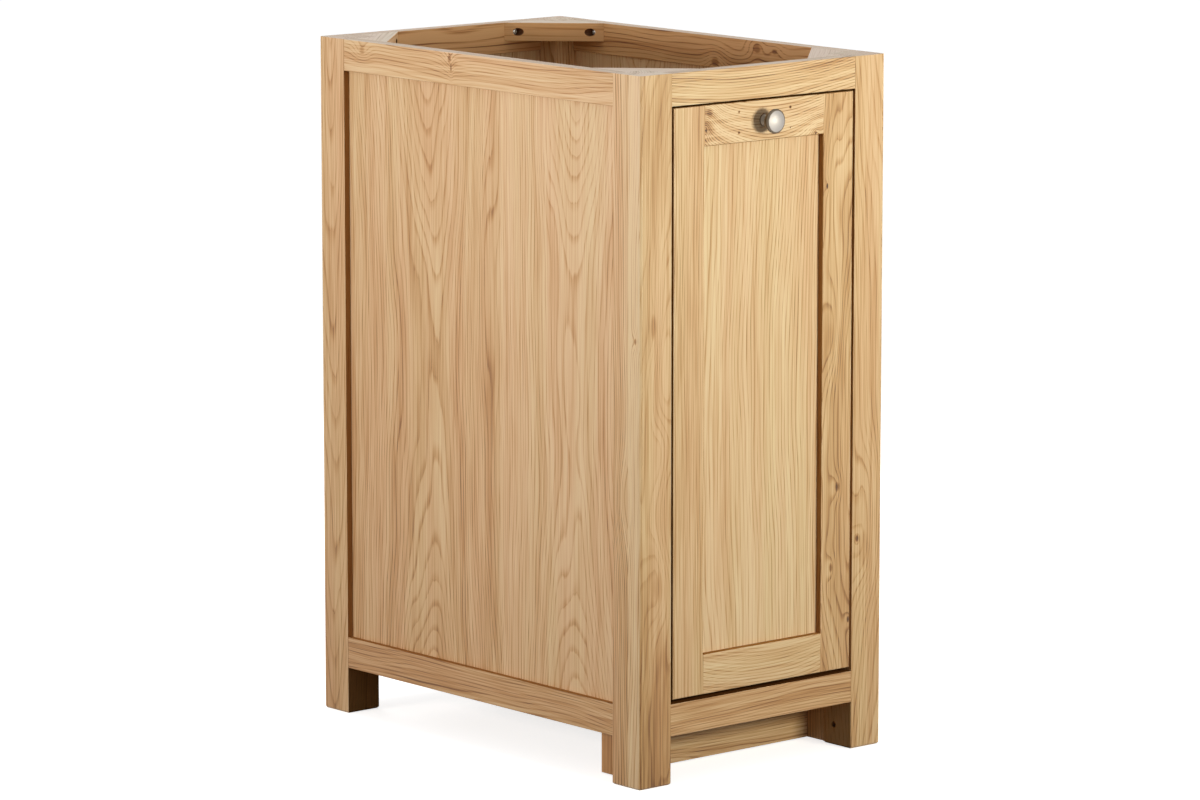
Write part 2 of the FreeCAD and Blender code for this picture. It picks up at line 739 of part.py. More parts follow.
add_pair("*_bearer", bearer())
add("bearer_screws", *screws(both_sides_places(bearer_screw_places()), RUNNER_SCREW_LONG))
add("rack_front_board", rack_front_board())
add("rack_back_board", rack_back_board())
for number, level in enumerate(("bottom", "middle", "top")):
    add(level + "_shelf", shelf(number))
    add(level + "_gallery_slats", *gallery(number))

add_pair("door_*_stile", door_stile())
add("door_top_rail", door_top_rail())
add("door_bottom_rail", door_rail(*door_rail_levels[0]))
add("door_panel", door_panel_space(PANEL_PLAY))
add("door_screws", *screws(both_sides_places(door_screw_places()), DOOR_SCREW_LONG))
add("knob", knob())
add("knob_bolt", screw(*bolt_place, bolt_long))

# The footprint runs from the tip of the knob to the back of the legs
to_centre = Vector(0, (KNOB_PROJECTION - DEPTH) / 2, 0)
os.makedirs("parts", exist_ok=True)
for name, solids in pieces.items():
    moved = [solid.translated(to_centre) for solid in solids]
    shape = moved[0] if len(moved) == 1 else Part.makeCompound(moved)
    shape.exportStep("parts/" + name + ".step")
print(len(pieces), "pieces,", sum(len(solids) for solids in pieces.values()), "solids")
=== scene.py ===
# %% [markdown]
# # A pull-out larder cabinet in oak
# The cabinet is a joiner's piece: square legs, flush rails and panels that stand in grooves. Its
# construction is already settled in a CAD model, so this lesson only dresses it. Every board gets soft
# edges and its own oak, cut from its own place in a tree, and the metal pieces are turned, plated and
# given their slots. Nothing is moved or resized.

# %% Load the frame
import json
import math
from functools import partial

import bmesh
import bpy
import numpy as np
from mathutils import Matrix, Vector


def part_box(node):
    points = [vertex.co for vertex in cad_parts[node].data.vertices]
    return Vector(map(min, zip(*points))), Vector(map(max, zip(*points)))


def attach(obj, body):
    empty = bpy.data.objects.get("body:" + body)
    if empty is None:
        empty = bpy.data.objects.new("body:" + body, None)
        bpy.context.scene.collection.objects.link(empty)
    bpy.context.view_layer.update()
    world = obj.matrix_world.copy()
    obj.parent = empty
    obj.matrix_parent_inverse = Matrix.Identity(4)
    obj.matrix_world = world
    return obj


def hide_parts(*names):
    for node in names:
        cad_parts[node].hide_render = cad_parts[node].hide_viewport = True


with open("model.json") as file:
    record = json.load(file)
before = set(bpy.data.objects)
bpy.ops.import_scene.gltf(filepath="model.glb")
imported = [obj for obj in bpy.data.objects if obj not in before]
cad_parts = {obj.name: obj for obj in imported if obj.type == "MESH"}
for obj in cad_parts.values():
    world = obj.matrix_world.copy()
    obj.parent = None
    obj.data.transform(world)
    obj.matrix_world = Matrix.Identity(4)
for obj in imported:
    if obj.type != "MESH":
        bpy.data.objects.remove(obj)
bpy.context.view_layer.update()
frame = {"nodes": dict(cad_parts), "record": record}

MM = 0.001               # the frame is in metres, and sizes are written here in millimetres

# %% [markdown]
# ## The camera
# The picture to match was taken with a long lens from in front, to the left and a little above. The
# view could be found by eye, but a pinhole camera fitted to the corners of the carcass gives its place,
# its two angles and its focal length at once. A long lens keeps the upright edges nearly parallel,
# which is why the place is more than seven metres away.

# %% Camera
PICTURE_WIDE = 1200              # pixels
FOCAL_LENGTH = 5758.7            # pixels of that picture
SENSOR_WIDE = 36.0               # mm
CAMERA_PLACE = Vector((-4671.0, -5431.75, 1614.7)) * MM
CAMERA_AZIMUTH = math.radians(-40.648)
CAMERA_ELEVATION = math.radians(9.458)

lens = bpy.data.cameras.new("photo_camera")
lens.sensor_width = SENSOR_WIDE
lens.lens = SENSOR_WIDE * FOCAL_LENGTH / PICTURE_WIDE
camera = bpy.data.objects.new("photo_camera", lens)
flat_share = math.cos(CAMERA_ELEVATION)
backwards = Vector((
    math.sin(CAMERA_AZIMUTH) * flat_share,
    -math.cos(CAMERA_AZIMUTH) * flat_share,
    math.sin(CAMERA_ELEVATION)))
camera.location = CAMERA_PLACE
camera.rotation_mode = "QUATERNION"
camera.rotation_quaternion = (-backwards).to_track_quat("-Z", "Y")
bpy.context.scene.collection.objects.link(camera)
bpy.context.scene.camera = camera
bpy.context.scene.view_settings.view_transform = "Standard"
print("lens of", round(lens.lens, 1), "mm,", round(CAMERA_PLACE.length, 1), "m away")

# %% [markdown]
# ## Colours and nodes
# Colours are read off as sRGB hex values, but a shader works with linear light, so one function
# converts them. A second small function adds a shader node, sets it and links it, and hands back one of
# its outputs. That keeps each material readable from top to bottom, as a chain of named values.


# %% Helpers for materials
def linear(hex_colour):
    """An sRGB hex colour as linear red, green, blue and alpha, by the sRGB curve."""
    share = np.array([int(hex_colour[at:at + 2], 16) for at in (1, 3, 5)]) / 255
    light = np.where(share <= 0.04045, share / 12.92, ((share + 0.055) / 1.055) ** 2.4)
    return (*light.tolist(), 1.0)


def add(tree, kind, inputs=(), out=0, **settings):
    """Adds a node with its settings, sets or links its inputs by place or name, and returns an output."""
    made = tree.nodes.new(kind)
    for name, value in settings.items():
        setattr(made, name, value)
    for name, value in inputs.items() if isinstance(inputs, dict) else enumerate(inputs):
        if isinstance(value, bpy.types.NodeSocket):
            tree.links.new(value, made.inputs[name])
        else:
            made.inputs[name].default_value = value
    return made.outputs[out] if made.outputs else None


def new_material(name):
    """An empty material and its node tree."""
    material = bpy.data.materials.new(name)
    material.use_nodes = True
    material.node_tree.nodes.clear()
    return material, material.node_tree


MATH, VECTOR_MATH = "ShaderNodeMath", "ShaderNodeVectorMath"
MAPPING, MAP_RANGE, MIX = "ShaderNodeMapping", "ShaderNodeMapRange", "ShaderNodeMix"
PLACE, NOISE, APART = "ShaderNodeTexCoord", "ShaderNodeTexNoise", "ShaderNodeSeparateXYZ"
GLOSSY, BUMP, OUTPUT = "ShaderNodeBsdfPrincipled", "ShaderNodeBump", "ShaderNodeOutputMaterial"
SHARE, NUMBER_A, NUMBER_B, COLOUR_A, COLOUR_B = 0, 2, 3, 6, 7    # a Mix node's inputs, by place
MIXED_COLOUR = 2                                                 # and its output for colours
print("white is", linear("#FFFFFF"), "and middle grey", [round(v, 3) for v in linear("#808080")])

# %% [markdown]
# ## The studio
# The cabinet stands on a plain pale floor against white. More light would make the floor white, but it
# would bleach the wood too. So the floor and the world are white to the camera and to shiny surfaces,
# and quieter to everything else. The floor still takes the cabinet's shadow.

# %% Floor and world
AMBIENT = 0.34                   # of white, from all round
FLOOR_HALF = 9000.0 * MM
FLOOR_GLOW = 0.74                # lifts the floor to white where no shadow falls
FLOOR_PALE = "#EFEFEF"
FLOOR_BOUNCE = "#3C3731"         # what the wood sees of the floor


def seen_directly(tree):
    """One for rays from the camera and from shiny or clear surfaces, and nought for the rest."""
    path = add(tree, "ShaderNodeLightPath").node.outputs
    shiny = add(tree, MATH, [path["Is Glossy Ray"], path["Is Transmission Ray"]], operation="MAXIMUM")
    return add(tree, MATH, [path["Is Camera Ray"], shiny], operation="MAXIMUM")


world = bpy.data.worlds.new("white_studio")
bpy.context.scene.world = world
world.use_nodes = True
world.node_tree.nodes.clear()
seen = seen_directly(world.node_tree)
strength = add(world.node_tree, MATH, [seen, 1 - AMBIENT, AMBIENT], operation="MULTIPLY_ADD")
sky = add(world.node_tree, "ShaderNodeBackground", {"Color": linear("#FFFFFF"), "Strength": strength})
add(world.node_tree, "ShaderNodeOutputWorld", {"Surface": sky})

# Matt floor paint: no gloss at all, so the eye sees only the shadow on it.
floor_finish, tree = new_material("studio_floor")
seen = seen_directly(tree)
shades = {SHARE: seen, COLOUR_A: linear(FLOOR_BOUNCE), COLOUR_B: linear(FLOOR_PALE)}
paint = add(tree, MIX, shades, out=MIXED_COLOUR, data_type="RGBA")
glow = add(tree, MATH, [seen, FLOOR_GLOW], operation="MULTIPLY")
matt = add(tree, "ShaderNodeBsdfDiffuse", {"Color": paint})
lit = add(tree, "ShaderNodeEmission", {"Strength": glow})
add(tree, OUTPUT, {"Surface": add(tree, "ShaderNodeAddShader", [matt, lit])})

corners = FLOOR_HALF * np.array([[-1, -1, 0], [1, -1, 0], [1, 1, 0], [-1, 1, 0]])
floor_mesh = bpy.data.meshes.new("studio_floor")
floor_mesh.from_pydata(corners.tolist(), [], [[0, 1, 2, 3]])
floor_mesh.materials.append(floor_finish)
floor = bpy.data.objects.new("studio_floor", floor_mesh)
bpy.context.scene.collection.objects.link(floor)
print("floor of", 2 * FLOOR_HALF, "m")

# %% [markdown]
# ## The lamps
# One lamp stands in front, a little to the right, and another to the left, a little further back. Both
# are no higher than the top edge, which leaves the inside and the walls of the recesses in shade and
# gives the knob a short shadow close behind it. Lamps hung higher would light the inside. One lamp
# overhead lights the top edges, and two more light the sides that the picture doesn't show.

# %% Lamps
LAMPS = (        # name, place and aim in metres, width and height, spread in degrees, watts, colour
    ("front_lamp", (0.50, -2.3, 0.86), (0.0, -0.3, 1.0), (0.6, 0.4), 120, 15, "#FFFBE9"),
    ("left_lamp", (-2.3, 0.50, 0.86), (-0.2, -0.25, 1.0), (0.6, 0.4), 110, 11.5, "#FFF2E7"),
    ("top_lamp", (0.0, 0.2, 3.0), (0.0, 0.0, 0.87), (0.8, 0.8), 180, 15, "#FFFFFF"),
    ("back_lamp", (0.6, 2.3, 0.9), (0.0, 0.3, 0.6), (1.2, 0.5), 180, 15, "#FFFFFF"),
    ("right_lamp", (2.3, 0.6, 0.9), (0.2, 0.0, 0.6), (1.2, 0.5), 180, 13, "#FFFFFF"),
)
for name, place, aim, size, spread, watts, colour in LAMPS:
    light = bpy.data.lights.new(name, "AREA")
    light.shape = "RECTANGLE"
    light.size, light.size_y = size
    light.spread = math.radians(spread)
    light.energy = watts
    light.color = linear(colour)[:3]
    lamp = bpy.data.objects.new(name, light)
    lamp.location = place
    lamp.rotation_mode = "QUATERNION"
    lamp.rotation_quaternion = (Vector(aim) - Vector(place)).to_track_quat("-Z", "Y")
    bpy.context.scene.collection.objects.link(lamp)
print(len(LAMPS), "lamps")

# %% [markdown]
# ## Boards with soft edges
# A CAD board has perfectly sharp edges, and no planed and sanded board has. A piece could be modelled
# again, but its shape is right, so a copy of it is joined up from the frame's loose triangles, its flat
# faces are made whole, and its long outer edges are marked for a narrow bevel. The short edges of screw
# holes and mortises stay as they are. Two boards that meet flush then show the hairline that a real
# joint shows.

# %% Joining up a CAD piece
JOIN_WITHIN = 0.002 * MM


def values(items, name, wide=1, kind=float):
    """One property of all points, edges, corners or faces of a mesh, as an array with a row for each."""
    flat = np.empty(len(items) * wide, kind)
    items.foreach_get(name, flat)
    return flat.reshape(-1, wide) if wide > 1 else flat


def merged(node):
    """The joined copy of a CAD node's triangles, as a bmesh."""
    source = frame["nodes"][node].data
    places = values(source.vertices, "co", wide=3)
    triangles = values(source.loops, "vertex_index", kind=int).reshape(-1, 3)
    mesh = bpy.data.meshes.new(node + "_joined")
    mesh.from_pydata(places.tolist(), [], triangles.tolist())
    shape = bmesh.new()
    shape.from_mesh(mesh)
    bpy.data.meshes.remove(mesh)
    bmesh.ops.remove_doubles(shape, verts=shape.verts, dist=JOIN_WITHIN)
    return shape


print("points closer than", JOIN_WITHIN / MM, "mm are joined")

# %% Easing its edges
FLAT_WITHIN = math.radians(1)
SHARP = math.radians(40)
LONG_EDGE = 9 * MM
ARRIS, ARRIS_STEPS = 0.6 * MM, 2
body_of = {node: body for body, nodes in frame["record"]["behaviour"]["bodies"].items() for node in nodes}


def stand_for(piece, node):
    """The piece takes a CAD node's place and body, and the node is hidden."""
    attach(piece, body_of[node])
    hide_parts(node)
    return piece


def eased(node, arris=ARRIS):
    """A copy of a CAD node with whole faces and with a bevel along its long sharp edges."""
    shape = merged(node)
    bmesh.ops.dissolve_limit(shape, angle_limit=FLAT_WITHIN, verts=shape.verts, edges=shape.edges)
    weight = shape.edges.layers.float.new("bevel_weight_edge")
    for edge in shape.edges:
        outer = edge.is_manifold and edge.is_convex and edge.calc_face_angle() > SHARP
        edge[weight] = float(outer and edge.calc_length() > LONG_EDGE)
    mesh = bpy.data.meshes.new(node + "_eased")
    shape.to_mesh(mesh)
    shape.free()
    mesh.shade_smooth()
    mesh.set_sharp_from_angle(angle=SHARP)
    piece = bpy.data.objects.new(node + "_eased", mesh)
    bpy.context.scene.collection.objects.link(piece)
    bevel = piece.modifiers.new("arris", "BEVEL")
    bevel.limit_method = "WEIGHT"
    bevel.width = arris
    bevel.segments = ARRIS_STEPS
    bevel.harden_normals = True
    return stand_for(piece, node)


print("edges longer than", LONG_EDGE / MM, "mm are eased by", ARRIS / MM, "mm")

# %% [markdown]
# ## Oak
# Oak is ring-porous: each spring the tree lays down a band of wide pores, which reads as a darker line,
# and then dense pale summer wood. A board is a slice through those rings. A flat pattern could be
# wrapped round each board, but it would break at the edges. So the pattern is made in three dimensions,
# from the distance to the tree's heart. A face that cuts the rings at a slant shows straight lines, a
# face that lies along them shows arches, and an end shows arcs, all from one formula. Each board has
# its own directions, and its own place in the noise.

# %% A place in the board, and noise along its grain
# Each is millimetres wide, millimetres long, and levels of detail. Real pores and fibres are too fine
# to show in the picture, so they are drawn coarser.
PORES = (1.2, 90.0, 1)
FIBRES = (1.8, 160.0, 2)
CLOUDS = (26.0, 460.0, 2)
BLUSHES = (38.0, 700.0, 1)
DRIFTS = (60.0, 280.0, 1.5)
JITTERS = (5.0, 90.0, 1.5)
BOARD_STEP = (3.7, 5.3, 2.9)     # from one board's noise to the next one's, in cells of the noise
AXES = {
    "x": Vector((1, 0, 0)), "y": Vector((0, 1, 0)), "z": Vector((0, 0, 1)),
    "/": Vector((1, 1, 0)).normalized(), "\\": Vector((1, -1, 0)).normalized(),
}


def board_place(put, axes, middle):
    """Millimetres from the board's middle: across its face, through it, and along its grain."""
    across, along = [AXES[axis] for axis in axes]
    turn = Matrix((across, along.cross(across), along))
    return put(MAPPING, {
        "Vector": put(PLACE, out="Object"), "Location": -(turn @ middle) / MM,
        "Rotation": turn.to_euler(), "Scale": (1 / MM,) * 3})


def grain_noise(put, place, seed, wide, long, detail, out="Fac"):
    """Noise drawn out along the grain, at a size in millimetres."""
    start = (BOARD_STEP[0] * seed + wide, BOARD_STEP[1] * seed, BOARD_STEP[2] * seed)
    stretched = put(MAPPING, {"Vector": place, "Location": start, "Scale": (1 / wide, 1 / wide, 1 / long)})
    return put(NOISE, {"Vector": stretched, "Scale": 1, "Detail": detail}, out=out)


print("pores", PORES[0], "mm wide, fibres", FIBRES[0], "mm, clouds", CLOUDS[0], "mm")

# %% [markdown]
# ## Heart and knots
# A trunk is neither straight nor round. Its heart line leans and bows, which closes the arches, and a
# slow drift makes the lines wander. Where a branch left the trunk there is a knot: it pushes the rings
# aside, and its core is dark and ragged. A knot that only pushes is a swirl, and one that is only dark
# is a stain, which also serves as painted shade in small holes and at the foot of a leg.

# %% Distance to the heart
RING = 4.6                       # mm; fast-grown oak, whose lines still show from seven metres away


def heart_distance(put, streaks, place, along, share, heart, lean, bow, drift):
    """The length across the grain from heart + lean * along + bow * share squared to the drifting
    place. Noise lies about a half, so twice the drift moves a place by the drift on average, and the
    heart moves with it."""
    wander = put(VECTOR_MATH, [streaks(*DRIFTS, "Color"), (2 * drift, 2 * drift, 0), place],
                 operation="MULTIPLY_ADD")
    bend = put(MATH, [share, share], operation="MULTIPLY")
    start = (heart[0] + drift, heart[1] + drift, 0)
    line = put(VECTOR_MATH, [along, (*lean, 0), start], operation="MULTIPLY_ADD")
    line = put(VECTOR_MATH, [bend, (*bow, 0), line], operation="MULTIPLY_ADD")
    spoke = put(VECTOR_MATH, [wander, line], operation="SUBTRACT")
    spoke = put(VECTOR_MATH, [spoke, (1, 1, 0)], operation="MULTIPLY")
    return put(VECTOR_MATH, [spoke], out="Value", operation="LENGTH")


print("rings", RING, "mm wide, unless a board has its own")

# %% Knots
KNOT_SPREAD = 0.80               # what is left of a knot's push at one knot radius
KNOT_EDGE = (0.10, 0.70)         # where a knot's dark core fades, in squared knot radii
NOISE_MIDDLE = 0.5


def knotted(put, place, radius, jitter, knots):
    """The distance plus push * half width * KNOT_SPREAD to the power of the squared knot radii, for
    each knot, and the darkness of the cores. A knot is (across, through, along, half width, half length,
    push, darkness)."""
    dark = 0.0
    for across, through, along, wide, long, push, darkness in knots:
        spot = put(VECTOR_MATH, [place, (across, through, along)], operation="SUBTRACT")
        spot = put(VECTOR_MATH, [spot, (1 / wide, 1 / wide, 1 / long)], operation="MULTIPLY")
        square = put(VECTOR_MATH, [spot, spot], out="Value", operation="DOT_PRODUCT")
        pushed = put(MATH, [KNOT_SPREAD, square], operation="POWER")
        radius = put(MATH, [pushed, push * wide, radius], operation="MULTIPLY_ADD")
        if darkness:
            ragged = put(MATH, [jitter, NOISE_MIDDLE], operation="SUBTRACT")
            edge = put(MATH, [ragged, square], operation="ADD")
            core = put(MAP_RANGE, {
                "Value": edge, "From Min": KNOT_EDGE[0], "From Max": KNOT_EDGE[1],
                "To Min": darkness, "To Max": 0})
            dark = put(MATH, [dark, core], operation="MAXIMUM")
    return radius, dark


print("half of a knot's push is left at", round(math.sqrt(math.log(0.5, KNOT_SPREAD)), 1), "knot radii")

# %% [markdown]
# ## Year rings
# The distance divided by the width of a ring counts the years. Where the count passes a whole number, a
# dark spring line begins, sets in quickly and fades slowly. No two years are alike, so each line has
# its own strength, and runs of good and lean years make broad bands. The pores break up each line a
# little.

# %% Lines and bands
SPRING_WOOD = 0.34               # share of a ring over which its dark line fades
NEXT_SPRING = 0.90               # share of a ring at which the next line sets in
FAINTEST = 0.4                   # of the darkest year's line
BROKEN = 0.35                    # share of a line's darkness that its pores carry
BAND_YEARS, BAND_DETAIL = 3.0, 1         # a run of good years is paler than a run of lean ones
YEARS_APART = 17.0               # from one board's years to the next one's


def year_rings(put, count, pores, seed):
    """Lines from the fraction of the ring count, each as strong as its year, and bands from noise over
    the years."""
    season = put(MATH, [count], operation="FRACT")
    year = put(MATH, [put(MATH, [count], operation="FLOOR"), YEARS_APART * seed], operation="ADD")
    year_tone = put("ShaderNodeTexWhiteNoise", {"W": year}, noise_dimensions="1D")
    years = put(MATH, [count, YEARS_APART * seed], operation="ADD")
    bands = put(NOISE, {"W": years, "Scale": 1 / BAND_YEARS, "Detail": BAND_DETAIL},
                noise_dimensions="1D")
    fade = put(MAP_RANGE, {"Value": season, "From Max": SPRING_WOOD, "To Min": 1, "To Max": 0},
               interpolation_type="SMOOTHSTEP")
    rise = put(MAP_RANGE, {"Value": season, "From Min": NEXT_SPRING}, interpolation_type="SMOOTHSTEP")
    spring = put(MATH, [fade, rise], operation="MAXIMUM")
    year_dark = put(MATH, [year_tone, 1 - FAINTEST, FAINTEST], operation="MULTIPLY_ADD")
    whole = put(MATH, [spring, year_dark], operation="MULTIPLY")
    broken = put(MATH, [pores, BROKEN, 1 - BROKEN], operation="MULTIPLY_ADD")
    return put(MATH, [whole, broken], operation="MULTIPLY"), bands


print("a spring line fades over", round(SPRING_WOOD * RING, 1), "mm")

# %% [markdown]
# ## Tone and finish
# All patterns add up to one tone, and a ramp of five colours turns the tone into wood. The same oak
# looks different under lacquer, under oil with painted shade inside, bare, or painted dark as shade in a
# gap or recess, so each of these has its own ramp. That is easier to match than one ramp with painted
# shade over it. Some parts are a little pinker than the rest.

# %% One tone from all patterns
LINE, BAND, CLOUD, FIBRE, PORE = 0.40, 0.36, 0.30, 0.42, 0.18    # how far each pattern moves the tone
JITTER = 0.25                    # how far a line strays, in rings
PORE_EDGE = (0.40, 0.62)         # where a pore begins and is darkest, in the noise that scatters them
MIDDLE_TONE = 0.073              # before the lines and pores are added


def oak_tone(put, streaks, place, half_long, seed, heart=(0, 70), lean=(0, 0), bow=(0, 0), knots=(),
             seam=None, leaf_tone=0.0, tone=0.0, foot_tone=0.0, drift=9.0, ring=RING, contrast=1.0):
    """The tone at a place, from nought for the palest wood, with the fibres and pores that are part of
    it. Heart is where the tree's middle lies from the board's, lean its slope, and bow its bend towards
    the board's ends. A seam mirrors the grain, and leaf tone sets its two sides apart. Painted falloff is
    painted shade that darkens the near or lower end, and a negative one paints that end lighter."""
    across, through, along = put(APART, [place]).node.outputs
    share = put(MATH, [along, 1 / half_long], operation="MULTIPLY")
    folded = place
    if seam is not None:
        from_seam = put(MATH, [across, seam], operation="SUBTRACT")
        beside = put(MATH, [from_seam], operation="ABSOLUTE")
        folded = put("ShaderNodeCombineXYZ", [beside, through, along])
    radius = heart_distance(put, streaks, folded, along, share, heart, lean, bow, drift)
    jitter = streaks(*JITTERS)
    radius, dark = knotted(put, place, radius, jitter, knots)
    rings = put(MATH, [radius, 1 / ring], operation="MULTIPLY")
    count = put(MATH, [jitter, JITTER, rings], operation="MULTIPLY_ADD")
    pores = put(MAP_RANGE, {"Value": streaks(*PORES), "From Min": PORE_EDGE[0], "From Max": PORE_EDGE[1]})
    lines, bands = year_rings(put, count, pores, seed)
    fibres = streaks(*FIBRES)
    patterns = (
        (lines, LINE * contrast), (bands, BAND * contrast), (pores, PORE), (fibres, FIBRE),
        (streaks(*CLOUDS), CLOUD), (share, -foot_tone))
    level = tone + MIDDLE_TONE - (BAND * contrast + CLOUD + FIBRE) / 2
    for pattern, weight in patterns:
        level = put(MATH, [pattern, weight, level], operation="MULTIPLY_ADD")
    if seam is not None:
        leaf = put(MATH, [from_seam], operation="SIGN")
        level = put(MATH, [leaf, leaf_tone, level], operation="MULTIPLY_ADD")
    return put(MATH, [level, dark], operation="ADD"), fibres, pores


print("lines move the tone by up to", LINE, "and fibres by", FIBRE)

# %% Oak with its finish
LACQUERED = ("#F2D9AE", "#E3C191", "#C59863", "#8E6237", "#3A2310")  # satin lacquer brings out the yellow
SAWN = ("#EBDCC8", "#DDCAB3", "#C5B096", "#9D866A", "#5A4632")       # bare tops, under the worktop
OILED_AND_SHADED = ("#DCB17A", "#C8965D", "#A77541", "#784C26", "#35200F")      # oiled inside, and painted darker than under lacquer as painted shade
PAINTED_SHADE = ("#A87A47", "#8E6032", "#704722", "#4B2C13", "#241408")       # painted shade for faces in gaps and recesses
DRILLED_AND_SHADED = ("#6B4626",) * 5       # walls of drilled holes: their end grain, darkened with painted shade
BLUSH = "#FFF9FB"                # what the pinkest parts are multiplied by
BLUSH_EDGE = (0.36, 0.64)        # where the pink begins and where it is full, in its noise
OAK_ROUGH = (0.44, 0.62)
LACQUER_IOR = 1.48
PORE_DEEP, PORE_BUMP = 0.12 * MM, 0.5


def oak(name, palette, axes, middle, seed, shine=0.5, **grain):
    """Oak for one board. Axes name the directions across its face and along its grain; the third goes
    through."""
    # Planed oak under satin lacquer: a warm, even colour with a soft sheen that fibres and pores break up.
    material, tree = new_material(name)
    put = partial(add, tree)
    place = board_place(put, axes, middle)
    streaks = partial(grain_noise, put, place, seed)
    tone, fibres, pores = oak_tone(put, streaks, place, seed=seed, **grain)
    ramp = put("ShaderNodeValToRGB", [tone])
    stops = ramp.node.color_ramp.elements
    while len(stops) < len(palette):
        stops.new(1.0)
    for number, colour in enumerate(palette):
        stops[number].position = number / (len(palette) - 1)
        stops[number].color = linear(colour)
    pink = put(MAP_RANGE, {
        "Value": streaks(*BLUSHES), "From Min": BLUSH_EDGE[0], "From Max": BLUSH_EDGE[1]})
    shades = {SHARE: pink, COLOUR_A: ramp, COLOUR_B: linear(BLUSH)}
    colour = put(MIX, shades, out=MIXED_COLOUR, data_type="RGBA", blend_type="MULTIPLY")
    relief = put(MATH, [fibres, pores], operation="SUBTRACT")
    bump = put(BUMP, {"Height": relief, "Strength": PORE_BUMP, "Distance": PORE_DEEP})
    rough = put(MAP_RANGE, {"Value": fibres, "To Min": OAK_ROUGH[0], "To Max": OAK_ROUGH[1]})
    surface = put(GLOSSY, {
        "Base Color": colour, "Roughness": rough, "Normal": bump, "IOR": LACQUER_IOR,
        "Specular IOR Level": shine})
    put(OUTPUT, {"Surface": surface})
    return material


print("oak in", len(LACQUERED), "tones, with pores", PORE_DEEP / MM, "mm deep")

# %% [markdown]
# ## Faces that differ
# A board is one piece of wood, but its faces aren't finished alike, and some stand in shade. Tops under
# the worktop are bare, inner faces are oiled and painted a little darker as painted shade, and faces in a
# gap or a recess are painted dark as painted shade. The board could be cut up into faces, but its mesh
# already knows which way each face looks, so each group of faces gets its own finish of the same wood.
# The pattern is made in three dimensions, so it runs on across an edge, unless a face is given grain of
# its own.

# %% A board and its faces
FACING = {
    "left": (-1, 0, 0), "right": (1, 0, 0), "front": (0, -1, 0),
    "back": (0, 1, 0), "under": (0, 0, -1), "top": (0, 0, 1),
}
FACES_WITHIN = 0.6               # cosine of the widest angle at which a face still counts as that side
HOLE_FACE = 120 * MM * MM        # a smaller face than this belongs to a hole
HOLE_INSIDE = 2.4 * MM           # and it lies this far inside the board
MATT = dict(shine=0.2)
# Inner faces: oiled, and painted darker as painted shade.
INSIDE = dict(MATT, palette=OILED_AND_SHADED)
BARE = dict(palette=SAWN, shine=0.1)
# Painted shade for faces in a recess, and darker still for faces in a gap.
PAINTED_RECESS_SHADE = dict(palette=PAINTED_SHADE, tone=-0.14, shine=0.0)
PAINTED_GAP_SHADE = dict(PAINTED_RECESS_SHADE, tone=0.40)
boards = []


def wooden(node, axes, slot="oak", sides=(), palette=LACQUERED, **grain):
    """An eased board with its own oak. Sides lists the groups of faces that differ: the ways they face,
    and what is different there. The small faces inside the board are the walls of drilled holes, painted
    dark as painted shade."""
    piece = eased(node)
    mesh = piece.data
    low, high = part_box(node)
    half_long = max(abs(AXES[axes[1]].dot(high - low)) / 2 / MM, 1)    # a diagonal can come out as nought
    finish = dict(grain, palette=palette, axes=axes, middle=(low + high) / 2, half_long=half_long,
                  seed=len(boards) + 1)
    facing = values(mesh.polygons, "normal", wide=3)
    middles = values(mesh.polygons, "center", wide=3)
    look = np.zeros(len(mesh.polygons), int)
    mesh.materials.append(oak("oak_" + node, **finish))
    for number, (ways, changes) in enumerate(sides, 1):
        mesh.materials.append(oak("oak_" + node + "_" + ways.replace(" ", "_"), **{**finish, **changes}))
        for way in ways.split():
            look[facing @ np.array(FACING[way]) > FACES_WITHIN] = number
    depth = np.minimum(middles - np.array(low), np.array(high) - middles).min(axis=1)
    holes = (values(mesh.polygons, "area") < HOLE_FACE) & (depth > HOLE_INSIDE)
    if holes.any():
        look[holes] = len(mesh.materials)
        mesh.materials.append(oak("oak_" + node + "_holes", **{**finish, "palette": DRILLED_AND_SHADED}))
    mesh.polygons.foreach_set("material_index", look)
    boards.append(piece)


print("faces can differ to the", ", ".join(FACING))

# %% [markdown]
# ## Legs
# The front left leg is glued up from two staves, so its side shows a seam half way, and the stave in
# front is painted paler, a painted highlight for the sheen along its rounded front edge. The grain runs
# up each leg, and it swings round a few small knots near the edges. The faces that look into a gap or a
# recess are painted darker, as painted shade. Soft dark patches lie over both ends of the front left
# leg's front face, as on the real leg, and the lower one is painted shade, as is the darkening towards
# the floor, where the light falls off. An even tone from end to end looks like plastic.

# %% The four legs
# Its paler front stave is a painted highlight for the sheen along the rounded front edge.
wooden("front_left_leg", "yz", heart=(76, 46), bow=(-8, 16), lean=(0.03, 0), seam=-3.0, leaf_tone=0.13,
       # The darker foot, here and on the front face below, is painted shade.
       foot_tone=0.13, contrast=1.5, ring=3.8,
       knots=[(-16, 25, 115, 3, 6, 2.0, 0.6), (8, 25, -81, 9, 26, 1.4, 0)],
       sides=[("top", BARE), ("right", PAINTED_GAP_SHADE), ("back", PAINTED_RECESS_SHADE), ("front", dict(
           axes="xz", seam=None, tone=0.14, foot_tone=0.04, heart=(34, 40), bow=(0, 14), drift=20.0,
           contrast=0.6,
           knots=[(-3, -25, 131, 6, 20, 1.5, 0.22), (5, -25, -188, 10, 26, 1.7, 0.12),
                  # The last two spots darken both ends of the front face; the lower one is painted shade.
                  (7, -25, -19, 8, 22, 1.4, 0), (0, -25, 420, 60, 260, 0, 0.12),
                  (0, -25, -400, 60, 220, 0, 0.24)]))])
